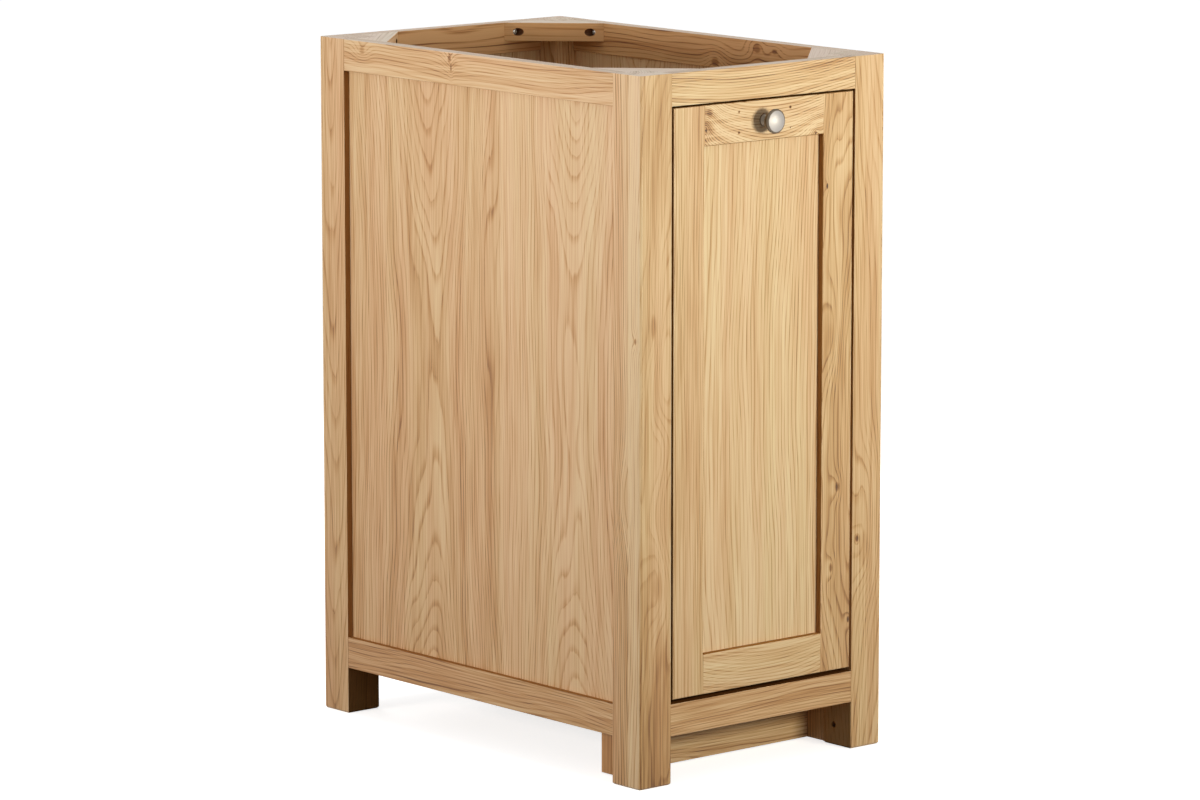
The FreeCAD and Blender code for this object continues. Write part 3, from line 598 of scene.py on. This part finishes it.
wooden("front_right_leg", "xz", heart=(64, 70), bow=(-20, -10), tone=0.10, foot_tone=0.05, contrast=0.8,
       knots=[(-17, -25, -168, 4, 6, 1.5, 0.6), (-5, -25, -183, 12, 30, 1.6, 0.12),
              (2, -25, -96, 9, 26, 1.4, 0)],
       # The inner face is painted lighter towards the floor, and a dark spot of painted shade marks the
       # link hole.
       sides=[("top", BARE), ("back", PAINTED_RECESS_SHADE), ("left", dict(
           palette=OILED_AND_SHADED, tone=0.10, foot_tone=-0.26, shine=0.0,
           knots=[(-25, 6, -409, 5.5, 5.5, 0, 0.9)]))])
wooden("back_left_leg", "yz", heart=(2, 60), lean=(0, -0.06), tone=0.12, foot_tone=0.03, ring=4.2,
       contrast=0.8, sides=[("top", BARE), ("right front", dict(PAINTED_RECESS_SHADE, tone=-0.24))])
wooden("back_right_leg", "yz", heart=(-30, -50), bow=(0, 18), tone=0.03,
       sides=[("top", BARE), ("left front", MATT)])
print(len(boards), "legs")

# %% [markdown]
# ## Rails
# The rails run level between the legs, so their grain does too. The front and left ones have narrower
# rings than the legs. The left top rail has a ring knot near its back end and a dark knot further along,
# and the inner face of the right one has three. Each could share one oak, but then all would show the
# same lines. Inside, most of the wood is oiled and painted a little darker, as painted shade, and the
# front and left bottom rails are painted darker than the top ones, as painted shade where the light
# falls off low down.

# %% The eight rails
wooden("front_top_rail", "zx", heart=(-70, 55), bow=(14, 0), lean=(0.05, 0), tone=0.08, ring=2.9,
       contrast=1.6, sides=[("top", BARE), ("under", PAINTED_GAP_SHADE), ("back", INSIDE)])
# The bottom rail is painted darker than the top one: painted shade where the light falls off low down.
wooden("front_bottom_rail", "zx", heart=(46, 70), bow=(-8, 0), tone=0.21, drift=10.0, ring=2.9,
       sides=[("top", PAINTED_GAP_SHADE), ("back", INSIDE)])
wooden("back_top_rail", "zx", heart=(30, -60), tone=0.04,
       sides=[("top", BARE), ("front", dict(palette=OILED_AND_SHADED, tone=-0.26, ring=3.4, contrast=2.4)),
              ("under", PAINTED_GAP_SHADE)])
wooden("back_bottom_rail", "zx", heart=(-40, -60), tone=0.03, sides=[("top", PAINTED_GAP_SHADE), ("front", INSIDE)])
wooden("left_top_rail", "zy", heart=(-52, 66), bow=(8, 0), lean=(0.01, 0), drift=7.0, tone=0.08, ring=2.9,
       contrast=1.2, sides=[("top", BARE), ("under", PAINTED_RECESS_SHADE), ("right", INSIDE)],
       knots=[(8, -10, 223, 6, 8, 1.2, 0.26), (12, -10, 49, 8, 5, 0.5, 0.55), (2, -10, 46, 8, 2, 0.3, 0.45),
              (9, -10, 42, 9, 14, 0.4, 0.10)])
# The bottom rail is painted darker than the top one: painted shade where the light falls off low down.
wooden("left_bottom_rail", "zy", heart=(-44, 60), bow=(-6, 0), tone=0.25, drift=10.0, ring=3.0,
       sides=[("top", PAINTED_RECESS_SHADE), ("right", INSIDE)])
wooden("right_top_rail", "zy", heart=(40, -66), bow=(8, 0), tone=0.04, drift=14.0,
       sides=[("top", BARE), ("under", PAINTED_GAP_SHADE), ("left", dict(
           palette=OILED_AND_SHADED, tone=-0.14, ring=3.4, contrast=1.9,
           knots=[(11, -10, -97, 8, 9, 1.2, 0.5), (9, -10, -130, 5, 7, 1.2, 0.5),
                  (-13, -10, -18, 8, 9, 1.2, 0.45)]))])
wooden("right_bottom_rail", "zy", heart=(40, -60), tone=0.03, sides=[("top", PAINTED_GAP_SHADE), ("left", INSIDE)])
print(len(boards), "boards so far")

# %% [markdown]
# ## Panels
# The side panel is two wide leaves joined down the middle, opened like a book, so their arches mirror
# each other. One fold of the pattern at the seam does that, where two boards side by side would need
# matching. The heart line bows away at both ends: the upper arches hang and the lower ones stand, with
# straight grain between.

# %% Side and back panels
wooden("left_side_panel", "yz", slot="oak_panel", heart=(139, 75), bow=(6, -30), seam=-39.0, leaf_tone=0.04,
       tone=0.05, foot_tone=0.05, drift=14.0, contrast=0.9, sides=[("right", INSIDE)],
       knots=[(-8, 0, 180, 11, 80, 2.4, 0), (4, 0, -140, 14, 120, 1.0, 0), (-15, 0, -60, 26, 420, 0, 0.07)])
wooden("right_side_panel", "yz", slot="oak_panel", heart=(120, -75), bow=(-6, 30), seam=12.0,
       leaf_tone=0.02, tone=0.05, drift=16.0, contrast=0.9, sides=[("left", dict(MATT, tone=-0.08))])
wooden("back_panel", "xz", slot="oak_panel", heart=(70, -70), bow=(0, 30), seam=-14.0, leaf_tone=0.02,
       tone=0.05, drift=16.0, contrast=0.9, sides=[("front", dict(MATT, tone=-0.08))])
print(len(boards), "boards so far")

# %% [markdown]
# ## Corner blocks, floor and plinth
# The four blocks stiffen the top. Their grain runs along the cut corner, and their tops are as bare as
# the rails'. Below, the floor board lies on two cleats, and the toe board ends on a block behind each
# front leg. Pieces that come in pairs or fours are dressed in a loop, and each still gets its own place
# in the tree.

# %% Blocks and boards low down
for corner, along in (("front_left", "\\"), ("front_right", "/"), ("back_left", "/"), ("back_right", "\\")):
    wooden(corner + "_corner_block", "z" + along, slot="oak_inside", palette=OILED_AND_SHADED, heart=(-40, 60),
           tone=-0.13, sides=[("top", BARE), ("under", PAINTED_GAP_SHADE)])
wooden("floor_board", "xy", slot="oak_inside", heart=(90, -80), bow=(0, 24), seam=6.0, leaf_tone=0.03)
for side in ("left", "right"):
    wooden(side + "_floor_cleat", "zy", slot="oak_inside", heart=(50, 40))
    # The plinth blocks are painted darker: painted shade under the bottom rail.
    wooden(side + "_plinth_block", "yz", slot="oak_inside", palette=OILED_AND_SHADED, heart=(40, 30), tone=0.12)
# The toe board is painted darker: painted shade under the bottom rail.
wooden("toe_board", "zx", slot="oak_inside", heart=(-70, 40), drift=14.0, ring=3.8, tone=0.23)
print(len(boards), "boards so far")

# %% [markdown]
# ## The front
# The front is a small framed door without hinges. The joiner used lively wood for it: the upper rail
# has a burst of curly grain at its left end, and the right stile swirls round several knots. The panel
# is plain, with close upright grain. The pin holes beside the knob are too small to shade themselves,
# so a small dark spot of painted shade sits on each of the three that show.

# %% Stiles, rails and panel of the front
wooden("door_left_stile", "xz", heart=(-90, 60), bow=(6, 0), tone=0.12, ring=3.8, contrast=0.8,
       sides=[("left top right", dict(PAINTED_RECESS_SHADE, tone=0.08))])
wooden("door_right_stile", "xz", heart=(26, 40), bow=(10, 16), lean=(0.02, 0), drift=20.0, tone=0.17,
       ring=3.8, sides=[("left top", PAINTED_RECESS_SHADE)],
       knots=[(-18, -11, 247, 2, 5, 2.0, 0.65), (-10, -11, 58, 10, 26, 1.5, 0.08),
              (2, -11, -130, 5, 9, 1.3, 0.45), (-8, -11, -231, 4, 8, 1.3, 0.4),
              (22, -11, -300, 3, 6, 1.4, 0.65), (1, -11, 141, 12, 40, 1.0, 0)])
wooden("door_top_rail", "zx", heart=(44, 36), bow=(34, 0), lean=(-0.10, 0), tone=-0.04, ring=2.9,
       contrast=1.8, sides=[("top under", PAINTED_RECESS_SHADE)],
       # The last three knots are spots of painted shade in the pin holes.
       knots=[(-6, 11, -95, 6, 2.5, 0.8, 0.75), (14, 11, -90, 10, 8, 0.8, 0.40),
              (0, 11, -100, 36, 26, 0, 0.28), (-22, 11, 84, 3, 3, 1.6, 0.55),
              (-14, 11, 92, 8, 12, 0.8, 0.08), (12.5, 11, -42, 3, 3, 0, 0.5),
              (-12.5, 11, -42, 3, 3, 0, 0.5), (12.5, 11, 42, 3, 3, 0, 0.5)])
wooden("door_bottom_rail", "zx", heart=(-60, 44), bow=(16, 0), drift=12.0, tone=0.04, ring=3.6,
       sides=[("top", PAINTED_RECESS_SHADE)])
wooden("door_panel", "xz", slot="oak_panel", heart=(-150, 90), bow=(14, 0), lean=(0.01, 0), drift=12.0,
       tone=-0.02, foot_tone=-0.03)
print(len(boards), "boards so far")

# %% [markdown]
# ## The rack
# Behind the front hangs a plain rack: two boards, three shelves, and slats along their edges that keep
# bottles on. It is the same oak with less to show, so knots and stains are left out.

# %% Boards of the rack
for side in ("left", "right"):
    wooden(side + "_bearer", "zy", slot="oak_inside", heart=(40, 40))
wooden("rack_front_board", "xz", slot="oak_inside", heart=(80, -60), bow=(0, 24), tone=0.02)
wooden("rack_back_board", "xz", slot="oak_inside", heart=(-60, 60), bow=(0, -24), tone=0.02)
for height in ("bottom", "middle", "top"):
    wooden(height + "_shelf", "xy", slot="oak_inside", heart=(70, -60), bow=(0, 20), seam=4.0,
           leaf_tone=0.03)
    wooden(height + "_gallery_slats", "zy", slot="oak_inside", heart=(60, 30))
print(len(boards), "boards in all")

# %% [markdown]
# ## Surfaces from formulas
# The turned and pressed pieces are surfaces of two parameters: how far along a profile, and how far
# round. A profile could be spun with a modifier, but as whole arrays a piece is one formula over a
# grid, and a slot can be pressed into it. The grid becomes a mesh of four-sided faces, its seam closes
# on itself, and the points that meet on the axis are merged.


# %% A grid of points becomes a mesh
def around(sides):
    """Angles of one turn, without the last, which is the first again."""
    return np.linspace(0, 2 * np.pi, sides, endpoint=False)


def skin(name, grids):
    """One mesh over several grids of points [along, round, xyz], each closed round its second parameter."""
    points, faces, first = [], [], 0
    for grid in grids:
        rows, columns = grid.shape[:2]
        number = first + np.arange(rows * columns).reshape(rows, columns)
        ahead = np.roll(number, -1, axis=1)
        faces.append(np.stack([number[:-1], ahead[:-1], ahead[1:], number[1:]], axis=-1).reshape(-1, 4))
        points.append(grid.reshape(-1, 3))
        first += rows * columns
    mesh = bpy.data.meshes.new(name)
    mesh.from_pydata(np.concatenate(points).tolist(), [], np.concatenate(faces).tolist())
    shape = bmesh.new()
    shape.from_mesh(mesh)
    bmesh.ops.remove_doubles(shape, verts=shape.verts, dist=JOIN_WITHIN)
    bmesh.ops.recalc_face_normals(shape, faces=shape.faces)
    shape.to_mesh(mesh)
    shape.free()
    mesh.shade_smooth()
    mesh.set_sharp_from_angle(angle=SHARP)
    piece = bpy.data.objects.new(name, mesh)
    bpy.context.scene.collection.objects.link(piece)
    return piece


print("edges sharper than", round(math.degrees(SHARP)), "degrees stay crisp")

# %% [markdown]
# ## The knob
# The knob is turned brass under satin nickel: a small foot, a waisted neck, a cupped underside, a rim
# with a fine bevel, and a shallow dome inside a turned groove. Turning leaves rings too fine to see,
# but they stretch the highlight, so they are drawn as a bump. The rim and the neck behind it are painted
# darker, as painted shade, and the neck keeps the turned shine.

# %% Satin nickel
NICKEL, NICKEL_SHADE = "#A5A09C", "#6B6053"       # the polished face, and painted shade for the rim and neck
NICKEL_ROUGH = (0.52, 0.62)
NECK_ROUGH = 0.22
NECK_FROM, NECK_TO = -5 * MM, -2 * MM            # measured from the knob's middle, towards the door
TURNING, TURNING_DETAIL = 0.5 * MM, 2            # real rings are finer than the picture shows
TURNING_DEEP, TURNING_BUMP = 0.02 * MM, 0.25
SMEAR, SMEAR_DETAIL = 6 * MM, 3                  # patches that took more or less polish


def satin_nickel(axis_place, face_radius, rim_radius):
    """Nickel plate over turned rings about an axis along Y, with painted shade round the rim and behind it.
    """
    # Buffed nickel plate: a soft grey mirror with one broad highlight on the dome, and a warm painted shade
    # on the rim and neck.
    material, tree = new_material("satin_nickel")
    put = partial(add, tree)
    place = put(MAPPING, {"Vector": put(PLACE, out="Object"), "Location": -axis_place})
    flat = put(VECTOR_MATH, [place, (1, 0, 1)], operation="MULTIPLY")
    radius = put(VECTOR_MATH, [flat], out="Value", operation="LENGTH")
    turned = put(NOISE, {"W": radius, "Scale": 1 / TURNING, "Detail": TURNING_DETAIL},
                 noise_dimensions="1D")
    bump = put(BUMP, {"Height": turned, "Strength": TURNING_BUMP, "Distance": TURNING_DEEP})
    cloud = put(NOISE, {"Vector": place, "Scale": 1 / SMEAR, "Detail": SMEAR_DETAIL})
    rough = put(MAP_RANGE, {"Value": cloud, "To Min": NICKEL_ROUGH[0], "To Max": NICKEL_ROUGH[1]})
    behind = put(APART, [place], out="Y")
    neck = put(MAP_RANGE, {"Value": behind, "From Min": NECK_FROM, "From Max": NECK_TO})
    rough = put(MIX, {SHARE: neck, NUMBER_A: rough, NUMBER_B: NECK_ROUGH})
    rim = put(MAP_RANGE, {"Value": radius, "From Min": face_radius, "From Max": rim_radius})
    # Painted shade: the rim and the neck behind it take the darker colour.
    dull = put(MATH, [neck, rim], operation="MAXIMUM")
    shades = {SHARE: dull, COLOUR_A: linear(NICKEL), COLOUR_B: linear(NICKEL_SHADE)}
    colour = put(MIX, shades, out=MIXED_COLOUR, data_type="RGBA")
    surface = put(GLOSSY, {"Base Color": colour, "Metallic": 1.0, "Roughness": rough, "Normal": bump})
    put(OUTPUT, {"Surface": surface})
    return material


print("nickel of roughness", *NICKEL_ROUGH)

# %% The knob's profile
KNOB_DOME, KNOB_BEVEL, KNOB_RIM = 3.0 * MM, 1.6 * MM, 1.8 * MM
KNOB_GROOVE, KNOB_GROOVE_DEEP = 0.5 * MM, 0.3 * MM
KNOB_NECK_RADIUS, KNOB_NECK_OUT = 5.5 * MM, 8.0 * MM
KNOB_FOOT_RADIUS, KNOB_FOOT_TALL = 8.5 * MM, 1.5 * MM
KNOB_STEPS, KNOB_SIDES = 12, 96

knob_low, knob_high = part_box("knob")
knob_middle = (knob_low + knob_high) / 2
knob_radius = (knob_high.z - knob_low.z) / 2
knob_out = knob_high.y - knob_low.y
face_out = knob_out - KNOB_DOME
rim_out = face_out - KNOB_BEVEL
cup_out = rim_out - KNOB_RIM
groove_out = face_out - KNOB_GROOVE_DEEP
face_radius = knob_radius - KNOB_BEVEL
dome_radius = face_radius - KNOB_GROOVE

# Radius and distance from the door: a neck that narrows by a quarter sine, a cup that widens by a half
# cosine, and a dome that falls off by the square of its radius.
swing = np.linspace(0, 1, KNOB_STEPS)
quarter = np.sin(np.pi / 2 * swing)
ease = (1 - np.cos(np.pi * swing)) / 2
neck_radius = KNOB_FOOT_RADIUS + (KNOB_NECK_RADIUS - KNOB_FOOT_RADIUS) * quarter
neck_out = KNOB_FOOT_TALL + (KNOB_NECK_OUT - KNOB_FOOT_TALL) * swing
cup_radius = KNOB_NECK_RADIUS + (knob_radius - KNOB_NECK_RADIUS) * ease
under_out = KNOB_NECK_OUT + (cup_out - KNOB_NECK_OUT) * quarter
dome = dome_radius * np.cos(np.pi / 2 * swing)
profile = np.concatenate([
    [[0, 0], [KNOB_FOOT_RADIUS, 0], [KNOB_FOOT_RADIUS, KNOB_FOOT_TALL]],
    np.stack([neck_radius, neck_out], axis=1),
    np.stack([cup_radius, under_out], axis=1)[1:],
    [[knob_radius, rim_out], [face_radius, face_out], [face_radius, groove_out], [dome_radius, groove_out]],
    np.stack([dome, knob_out - KNOB_DOME * (dome / dome_radius) ** 2], axis=1),
])
print("profile of", len(profile), "points")

# %% The knob, turned
# The profile's radius goes round the knob's axis, and its distance runs from the door towards the
# viewer.
turn = around(KNOB_SIDES)
knob_grid = np.stack(np.broadcast_arrays(
    knob_middle.x + profile[:, :1] * np.cos(turn),
    knob_high.y - profile[:, 1:] + 0 * turn,
    knob_middle.z + profile[:, :1] * np.sin(turn)), axis=-1)
turned_knob = skin("turned_knob", [knob_grid])
turned_knob.data.materials.append(satin_nickel(knob_middle, dome_radius - KNOB_GROOVE, face_radius))
stand_for(turned_knob, "knob")
print("knob of", round(2 * knob_radius / MM, 1), "mm,", len(turned_knob.data.polygons), "faces")

# %% [markdown]
# ## Screws
# The CAD screws are plain pegs. The real ones have a domed head with a cross slot, made here by
# lowering the head's surface inside two crossing bands. Cutting the slots with a Boolean would leave
# long thin faces. Each group of screws is one piece, so the places and directions come from the frame:
# the group's mesh is split into its separate solids, and the end where a solid is widest is its head.


# %% Solids of a group
def solids_of(node):
    """The points of each separate solid in a node: joined points share the lowest number among them."""
    shape = merged(node)
    mesh = bpy.data.meshes.new(node + "_solids")
    shape.to_mesh(mesh)
    shape.free()
    places = values(mesh.vertices, "co", wide=3)
    ends = values(mesh.edges, "vertices", wide=2, kind=int)
    bpy.data.meshes.remove(mesh)
    label = np.arange(len(places))
    while True:
        lowest = label[ends].min(axis=1)
        spread = label.copy()
        np.minimum.at(spread, ends[:, 0], lowest)
        np.minimum.at(spread, ends[:, 1], lowest)
        if (spread == label).all():
            return [places[label == number] for number in np.unique(label)]
        label = spread


print(len(solids_of("corner_block_screws")), "screws in the corner blocks")

# %% A screw from its peg
SCREW_SIDES, HEAD_STEPS = 48, 14
SLOT_HALF, SLOT_REACH, SLOT_DEEP = 0.55 * MM, 2.3 * MM, 1.3 * MM
HEAD_FROM = 0.9                  # share of the widest radius from which a point belongs to the head
TIP = 0.6                        # radius of the blunt tip, as a share of the shank's


def screw_grid(points):
    """A cross-slotted screw in the place of a peg: a blunt shank and a quarter-round head turned about
    the peg's axis, and lowered by the slot's depth where either distance from the slot's middle lines is
    small."""
    low, high = points.min(axis=0), points.max(axis=0)
    axis = int(np.argmax(high - low))
    across = [(axis + 1) % 3, (axis + 2) % 3]
    middle = (low + high) / 2
    spokes = np.linalg.norm(points[:, across] - middle[across], axis=1)
    wide = points[spokes > HEAD_FROM * spokes.max()]
    head_side = np.sign(wide[:, axis].mean() - middle[axis])
    head_radius, shank_radius = spokes.max(), spokes.min()
    head_tall = np.ptp(wide[:, axis])
    under = high[axis] - low[axis] - head_tall
    swing = np.pi / 2 * np.linspace(0, 1, HEAD_STEPS)
    shank = [0, TIP * shank_radius, shank_radius, shank_radius]
    radius = np.concatenate([shank, head_radius * np.cos(swing)])
    height = np.concatenate([[0, 0, shank_radius, under], under + head_tall * np.sin(swing)])
    turn = around(SCREW_SIDES)
    first, second = radius[:, None] * np.cos(turn), radius[:, None] * np.sin(turn)
    band = np.minimum(abs(first), abs(second))
    inside = (band < SLOT_HALF) & (radius[:, None] < SLOT_REACH) & (height[:, None] > under + head_tall / 2)
    grid = np.empty((*inside.shape, 3))
    foot = low[axis] if head_side > 0 else high[axis]
    grid[..., axis] = foot + head_side * (height[:, None] - SLOT_DEEP * inside)
    grid[..., across[0]] = middle[across[0]] + first
    grid[..., across[1]] = middle[across[1]] + second
    return grid


print("slots", 2 * SLOT_HALF / MM, "mm wide and", SLOT_DEEP / MM, "mm deep")

# %% [markdown]
# ## Zinc plate
# Screws and runners are steel under a thin coat of zinc. The coat grows as crystals, which differ a
# little in tone and polish, and handling leaves faint clouds. A single grey would look like plastic,
# and a mirror like chrome, so the polish is scattered in cells as large as the crystals: small on
# screws, and larger on the rolled strip.

# %% Plated steel, and the screws
CLOUD_CRYSTALS, CLOUD_DETAIL = 3, 3      # width of a cloud, in crystals, and its levels of detail
CLOUD_SHARE = 0.5                # of the polish; the rest is the crystals'
STEEL_TINT = (0.86, 1.06)        # darkest and brightest cloud
SCREW_GROUPS = (
    "corner_block_screws", "floor_screws", "runner_angle_screws",
    "bearer_screws", "door_screws", "knob_bolt")


def plated_steel(name, colour, smooth, dull, crystal):
    """Zinc plate: a dull metal mirror whose crystals differ a little in tone and polish."""
    # Bright zinc on steel: a pale grey that glints unevenly, with no clear reflection in it.
    material, tree = new_material(name)
    put = partial(add, tree)
    place = put(PLACE, out="Object")
    crystals = put("ShaderNodeTexVoronoi", {"Vector": place, "Scale": 1 / crystal}, out="Color")
    cloud = put(NOISE, {"Vector": place, "Scale": 1 / (CLOUD_CRYSTALS * crystal), "Detail": CLOUD_DETAIL})
    patches = put(MIX, {SHARE: CLOUD_SHARE, NUMBER_A: crystals, NUMBER_B: cloud})
    rough = put(MAP_RANGE, {"Value": patches, "To Min": smooth, "To Max": dull})
    tint = put(MAP_RANGE, {"Value": cloud, "To Min": STEEL_TINT[0], "To Max": STEEL_TINT[1]})
    shade = put(VECTOR_MATH, [linear(colour)[:3], tint], operation="MULTIPLY")
    surface = put(GLOSSY, {"Base Color": shade, "Metallic": 1.0, "Roughness": rough})
    put(OUTPUT, {"Surface": surface})
    return material


screw_steel = plated_steel("screw_steel", "#D4D1CA", smooth=0.36, dull=0.54, crystal=1.5 * MM)
for node in SCREW_GROUPS:
    slotted = skin(node + "_slotted", [screw_grid(points) for points in solids_of(node)])
    slotted.data.materials.append(screw_steel)
    stand_for(slotted, node)
    print(node, len(slotted.data.polygons), "faces")

# %% [markdown]
# ## Runners
# The runners are rolled from zinc-plated strip, and their angles are screwed to the floor board. They
# could be drawn again as swept profiles, but their folds are already in the CAD model, so each is a copy
# with its folds shaded smooth and its cut edges barely broken.

# %% Zinc-plated runners
SHEET_EDGE = 0.15 * MM
RUNNER_PARTS = (
    "runner_angle", "runner_outer", "runner_middle", "runner_inner",
    "outer_roller_cage", "inner_roller_cage")
zinc = plated_steel("zinc_plated_steel", "#BFC2C4", smooth=0.26, dull=0.46, crystal=9 * MM)
for side in ("left", "right"):
    for part in RUNNER_PARTS:
        folded_strip = eased(side + "_" + part, SHEET_EDGE)
        folded_strip.data.materials.append(zinc)
print(2 * len(RUNNER_PARTS), "strips plated")
